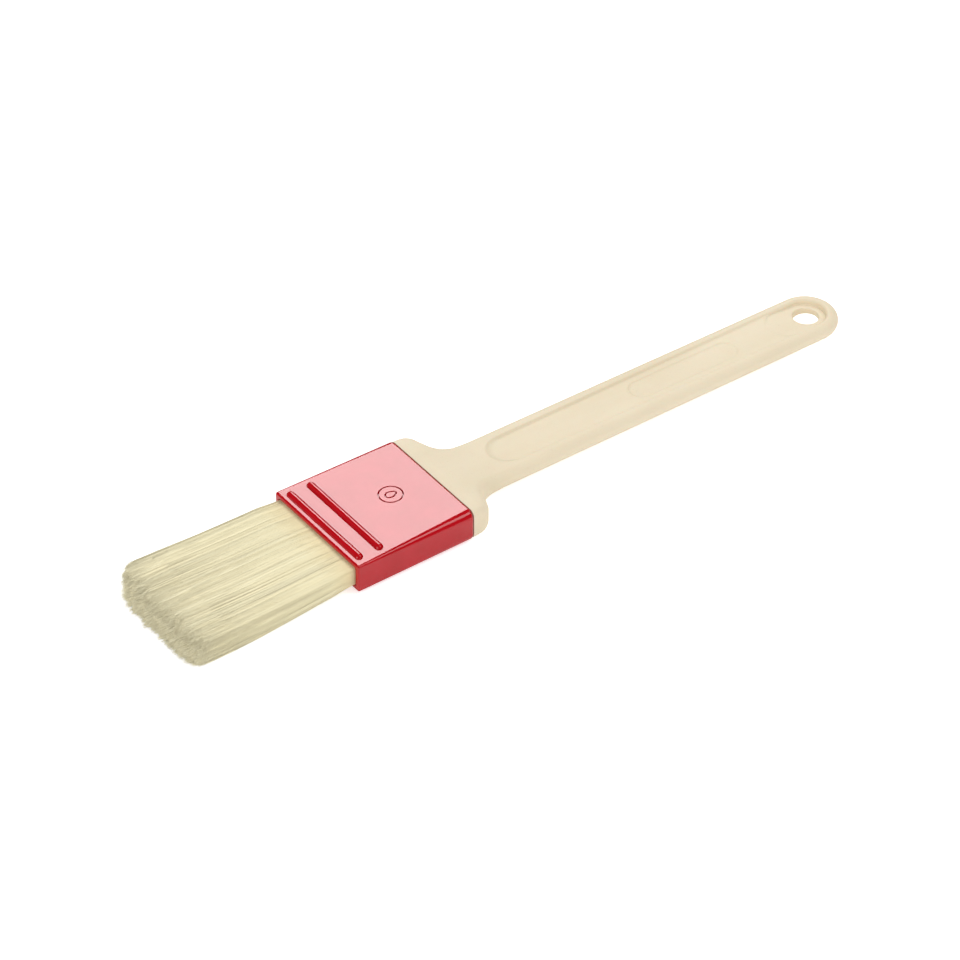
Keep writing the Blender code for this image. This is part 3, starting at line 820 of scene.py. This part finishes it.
def strand_paths(across, level, start, segments):
    """Points (strand, ring, xyz) along each bristle from start (m outside the mouth) to its tip."""
    count = len(across)
    lock_across = np.round(across * LOCKS_ACROSS + LOCK_SKEW * np.sin(LOCK_SKEW_TURNS * level))
    lock_level = np.round(level * LOCKS_THROUGH)
    lock_cut = LOCK_CUTS[lock_across.astype(int) + LOCK_ROWS, lock_level.astype(int) + LOCK_COLUMNS]
    reach = strand_reach(across, level) + lock_cut + random.normal(0, LENGTH_SPREAD, count)
    reach -= (random.random(count) < BROKEN_SHARE) * random.random(count) * BROKEN_LENGTH * MM
    share = np.linspace(0, 1, segments + 1)[None]
    along = start[:, None] + (reach - start)[:, None] * share
    x = MOUTH_X - along
    t = np.clip(along / FREE_LENGTH, 0, 1.1)

    # The locks close up towards their tips.
    pull = LOCK_PULL_ACROSS * t**2
    u = mix(across[:, None], lock_across[:, None] / LOCKS_ACROSS, pull)
    v = mix(level[:, None], lock_level[:, None] / LOCKS_THROUGH, LOCK_PULL_THROUGH * pull)
    squeeze = np.sqrt(np.maximum(1 - SIDE_SQUEEZE * (np.abs(u) ** 6), 0.1))
    y = u * pack_half_width(x)
    z = v * squeeze * pack_half_thickness(x) - droop(t)

    wave = random.normal(0, 1, (count, 4))
    y += MM * (BEND_Y * wave[:, :1] * t**2 + WAVE_Y * wave[:, 1:2] * np.sin(pi * t * WAVE_Y_TURNS))
    z += MM * (BEND_Z * wave[:, 2:3] * t**2 + WAVE_Z * wave[:, 3:4] * np.sin(pi * t * WAVE_Z_TURNS))
    stray = (random.random(count) < STRAY_SHARE)[:, None] * t**3
    y += stray * random.normal(0, STRAY_Y, (count, 1))
    z += stray * random.normal(0, STRAY_Z, (count, 1))
    z = np.clip(z, FLOOR_CLEARANCE - MIDDLE_Z, 1.1 * TIP_HALF_THICKNESS)
    return np.stack([x, y, MIDDLE_Z + z], 2), t


def pack_normals(across, level):
    """The direction in which each bristle's side of the pack faces, mostly sideways or mostly up or down."""
    side = np.abs(across) ** SIDE_POWER
    y = np.sign(across) * side
    z = MIDDLE_LIFT * np.sign(level) * (1 - side) + FACE_LIFT * level**3 + SIDE_LIFT * side
    normals = np.stack([np.full_like(y, -0.05), y, z], 1)
    return normals / np.linalg.norm(normals, axis=1)[:, None]


def strand_mesh(name, paths, along, radius, tone, facing, material):
    """Thin three-sided tapered tubes along every path, shaded mostly like the pack's surface."""
    count, rings, _ = paths.shape
    size = rings * HAIR_CORNERS
    turn = random.random(count) * 2 * pi
    taper = 1.0 - HAIR_TAPER * np.linspace(0, 1, rings) ** 2
    taper[-1] = HAIR_END_RADIUS
    corners = turn[:, None] + np.arange(HAIR_CORNERS)[None] * 2 * pi / HAIR_CORNERS
    offsets = np.stack([np.zeros_like(corners), np.cos(corners), np.sin(corners)], 2)
    points = paths[:, :, None] + offsets[:, None] * (radius[:, None] * taper)[:, :, None, None]
    points = points.reshape(-1, 3)

    base = (np.arange(count) * size)[:, None, None]
    ring = (np.arange(rings - 1) * HAIR_CORNERS)[None, :, None]
    corner = np.arange(HAIR_CORNERS)[None, None]
    a, b = base + ring + corner, base + ring + (corner + 1) % HAIR_CORNERS
    sides = np.stack([a, a + HAIR_CORNERS, b + HAIR_CORNERS, b], 3).reshape(-1, 4)
    starts = base.ravel()
    first_caps = np.stack([starts, starts + 1, starts + 2], 1)
    ends = starts + size - HAIR_CORNERS
    last_caps = np.stack([ends + 2, ends + 1, ends], 1)

    mesh = bpy.data.meshes.new(name)
    loops = np.concatenate([sides.ravel(), first_caps.ravel(), last_caps.ravel()])
    sizes = np.concatenate([np.full(len(sides), 4), np.full(2 * count, 3)])
    mesh.vertices.add(len(points))
    mesh.vertices.foreach_set("co", points.ravel())
    mesh.loops.add(len(loops))
    mesh.loops.foreach_set("vertex_index", loops)
    mesh.polygons.add(len(sizes))
    mesh.polygons.foreach_set("loop_start", np.concatenate([[0], np.cumsum(sizes)[:-1]]))
    mesh.polygons.foreach_set("loop_total", sizes)
    mesh.update(calc_edges=True)

    for key, values in (("tone", np.repeat(tone, size)), ("along", np.repeat(along, HAIR_CORNERS))):
        mesh.attributes.new(key, "FLOAT", "POINT").data.foreach_set("value", values.astype(np.float32))

    # One small cell of the unwrapping per bristle, so each keeps its own colour when the material is baked.
    cells = int(np.ceil(sqrt(count)))
    strand, place = loops // size, loops % size // HAIR_CORNERS / (rings - 1)
    side = loops % HAIR_CORNERS / (HAIR_CORNERS - 1)
    u, v = strand % cells + 0.15 + 0.7 * side, strand // cells + 0.1 + 0.8 * place
    uv = np.stack([u / cells, v / cells], 1)
    mesh.uv_layers.new(name="OFBake").data.foreach_set("uv", uv.astype(np.float32).ravel())

    mesh.shade_smooth()
    at_end = smooth_share(along, END_FACE_START, 1.0)[..., None]
    surface = mix(facing[:, None], np.array(END_FACE_NORMAL), at_end)[:, :, None]
    normals = ((1 - SURFACE_SHARE) * offsets[:, None] + SURFACE_SHARE * surface).reshape(-1, 3)
    normals /= np.linalg.norm(normals, axis=1)[:, None]
    mesh.normals_split_custom_set_from_vertices(normals)
    mesh.materials.append(material)
    obj = bpy.data.objects.new(name, mesh)
    bpy.context.scene.collection.objects.link(obj)
    return obj


def lock_tone(across, level):
    """A tone that changes in bands across the pack, with a variation of each bristle's own."""
    broad = 0.22 * np.sin(31 * across + 2.1 * np.sin(7 * across))
    fine = 0.10 * np.sin(83 * across + 5 * level)
    return np.clip((0.5 + broad + fine) * 0.30 + 0.42 + random.normal(0, 0.12, len(across)), 0.0, 1.0)


def outer_places(count):
    """Places in the outer layers of the pack, all round its section."""
    on_sides = random.random(count) < ON_SIDES_SHARE
    depth = random.random(count) ** OUTER_DEPTH_POWER * OUTER_DEPTH
    run = random.uniform(-1, 1, count)
    across = np.where(on_sides, np.sign(random.random(count) - 0.5) * (1 - 0.2 * depth), run)
    run = random.uniform(-1, 1, count)
    level = np.where(on_sides, run, np.sign(random.random(count) - 0.5) * (1 - depth))
    return across, level


def make_core(face, side, material):
    """The plain solid under one row's bristles; its darker colour is painted shade between them."""
    sections = []
    stations = list(np.linspace(ROOT_X, MOUTH_X, CORE_ROOT_STATIONS))
    stations += list(np.linspace(MOUTH_X, TIP_X + CORE_SETBACK, CORE_FREE_STATIONS))[1:]
    for x in stations:
        shrunk = smooth_share(MOUTH_X + CORE_SHRINK_START - x, 0.0, CORE_SHRINK_RUN)
        width = pack_half_width(x) * mix(1.0, CORE_WIDTH_SHARE, shrunk)
        outer = pack_half_thickness(x) * mix(1.0, CORE_THICKNESS_SHARE, shrunk)
        inner = row_inner_level(x)
        half = (outer - inner) / 2
        middle = side * (inner + outer) / 2 - droop((MOUTH_X - x) / FREE_LENGTH)
        sections.append((x, rounded_section(width, half, CORE_EDGE_SHARE * half, middle)))
    core = new_object(f"bristle_core_painted_shade_{face}", loft_along_x(sections), material)
    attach(core, "root")
    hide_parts(f"bristle_row_{face}")


def make_bristles():
    hair, core = bristle_hair(), bristle_core_painted_shade()
    for face, side in (("upper", 1), ("lower", -1)):
        make_core(face, side, core)
    outer = outer_places(OUTER_COUNT)
    inner = random.uniform(-1, 1, INNER_COUNT), random.uniform(-1, 1, INNER_COUNT)
    for face, side in (("upper", 1), ("lower", -1)):
        for kind, (across, level), segments, first in (
            ("outer", outer, OUTER_SEGMENTS, OUTER_START),
            ("inner", inner, INNER_SEGMENTS, INNER_START),
        ):
            mine = level * side > 0
            u, v = across[mine], level[mine]
            start = first + random.uniform(0, START_SPREAD, len(u))
            paths, along = strand_paths(u, v, start, segments)
            radius = random.uniform(*HAIR_RADII, len(u))
            tone, facing = lock_tone(u, v), pack_normals(u, v)
            strands = strand_mesh(f"bristles_{face}_{kind}", paths, along, radius, tone, facing, hair)
            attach(strands, "root")
            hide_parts(f"bristle_row_{face}")


# ---------------------------------------------------------------- floor, light and camera

CAMERA_AZIMUTH = radians(-35.786)
CAMERA_ELEVATION = radians(39.12)
CAMERA_ROLL = radians(-0.108)
CAMERA_DISTANCE = 1.6
CAMERA_LENS = 206.172
CAMERA_SENSOR = 36.0
CAMERA_SLIDE = (-1.86 * MM, -4.49 * MM)
CAMERA_TARGET = Vector((MOUTH_X + 60 * MM, 0.0, MIDDLE_Z))
CAMERA_NEAR, CAMERA_FAR = 0.01, 20.0

LIGHT_TARGET = Vector((MOUTH_X + 40 * MM, 0.0, MIDDLE_Z))
SOFTBOXES = (  # direction from the brush, distance, size, radiance
    ("softbox_behind", (0.468, 0.629, 0.616), 1.3, (0.38, 0.46), 7.6),
    ("softbox_front", (0.38, -0.48, 0.79), 1.5, (0.80, 0.60), 3.4),
    ("softbox_left", (-0.90, -0.12, 0.42), 1.5, (0.90, 0.80), 3.0),
)
FLOOR_HALF_SIZE = 6.0
FLOOR_DROP = 0.02 * MM
FLOOR_GLOW, FLOOR_GLOW_SEEN = 0.24, 0.62  # in the light it gives, and to the camera
WORLD_LIGHT, WORLD_MIRRORED = 0.60, 0.08  # in the light it gives, and in reflections


def make_camera():
    azimuth, elevation = CAMERA_AZIMUTH, CAMERA_ELEVATION
    back = Vector((sin(azimuth) * cos(elevation), -cos(azimuth) * cos(elevation), sin(elevation)))
    right = Vector((cos(azimuth), sin(azimuth), 0.0))
    up = back.cross(right)
    turned_right = right * cos(CAMERA_ROLL) + up * sin(CAMERA_ROLL)
    turned_up = up * cos(CAMERA_ROLL) - right * sin(CAMERA_ROLL)
    data = bpy.data.cameras.new("camera")
    data.sensor_width = CAMERA_SENSOR
    data.lens = CAMERA_LENS
    data.clip_start, data.clip_end = CAMERA_NEAR, CAMERA_FAR
    camera = bpy.data.objects.new("camera", data)
    bpy.context.scene.collection.objects.link(camera)
    matrix = Matrix((turned_right, turned_up, back)).transposed().to_4x4()
    matrix.translation = (
        CAMERA_TARGET + turned_right * CAMERA_SLIDE[0] + turned_up * CAMERA_SLIDE[1] + back * CAMERA_DISTANCE
    )
    camera.matrix_world = matrix
    bpy.context.scene.camera = camera


def add_softbox(name, direction, distance, size, radiance):
    """A rectangular light aimed at the brush, given by how bright its surface is."""
    aim = Vector(direction).normalized()
    data = bpy.data.lights.new(name, "AREA")
    data.shape = "RECTANGLE"
    data.size, data.size_y = size
    data.energy = radiance * pi * size[0] * size[1]
    light = bpy.data.objects.new(name, data)
    light.location = LIGHT_TARGET + aim * distance
    light.rotation_euler = aim.to_track_quat("Z", "Y").to_euler()
    bpy.context.scene.collection.objects.link(light)


def make_floor():
    """A white floor that looks brighter to the camera than it shines on the brush."""
    n = Nodes("floor_white")
    clouds = n.noise(n.stretched(EVEN), scale=3.0)
    n.wire(n.blend(n.span(clouds, low=0.0, high=1.0), FLOOR_DARK, FLOOR_LIGHT), None)
    n.set(Roughness=0.9, Emission_Color=WHITE)
    seen = n.add("ShaderNodeLightPath").outputs["Is Camera Ray"]
    glow = n.span(seen, low=FLOOR_GLOW, high=FLOOR_GLOW_SEEN, from_low=0.0, from_high=1.0)
    n.link(glow, n.shader.inputs["Emission Strength"])
    bm = bmesh.new()
    bmesh.ops.create_grid(bm, x_segments=4, y_segments=4, size=FLOOR_HALF_SIZE)
    floor = new_object("studio_floor", bm, n.material)
    floor.location.z = cad_box[0][2] - FLOOR_DROP


def make_world():
    """A background that is white to the camera, grey as a light and dark in reflections."""
    world = bpy.data.worlds.new("studio")
    bpy.context.scene.world = world
    world.use_nodes = True
    tree = world.node_tree
    background = tree.nodes["Background"]
    seen = tree.nodes.new("ShaderNodeBackground")
    for node in (background, seen):
        node.inputs["Color"].default_value = WHITE
    path = tree.nodes.new("ShaderNodeLightPath")
    choice = tree.nodes.new("ShaderNodeMixShader")
    mirrored = tree.nodes.new("ShaderNodeMapRange")
    mirrored.inputs["To Min"].default_value = WORLD_LIGHT
    mirrored.inputs["To Max"].default_value = WORLD_MIRRORED
    tree.links.new(path.outputs["Is Glossy Ray"], mirrored.inputs["Value"])
    tree.links.new(mirrored.outputs["Result"], background.inputs["Strength"])
    tree.links.new(path.outputs["Is Camera Ray"], choice.inputs[0])
    tree.links.new(background.outputs[0], choice.inputs[1])
    tree.links.new(seen.outputs[0], choice.inputs[2])
    tree.links.new(choice.outputs[0], tree.nodes["World Output"].inputs["Surface"])


def dress(node_name, material):
    """Gives a CAD node that is shown as packed its own material."""
    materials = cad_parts[node_name].data.materials
    materials.clear()
    materials.append(material)


make_camera()
make_ferrule()
make_handle()
make_bristles()
dress("spacer_strip", hidden_plastic())
dress("resin_block", cast_resin())
make_floor()
make_world()
for softbox in SOFTBOXES:
    add_softbox(*softbox)
bpy.context.scene.view_settings.view_transform = "Standard"
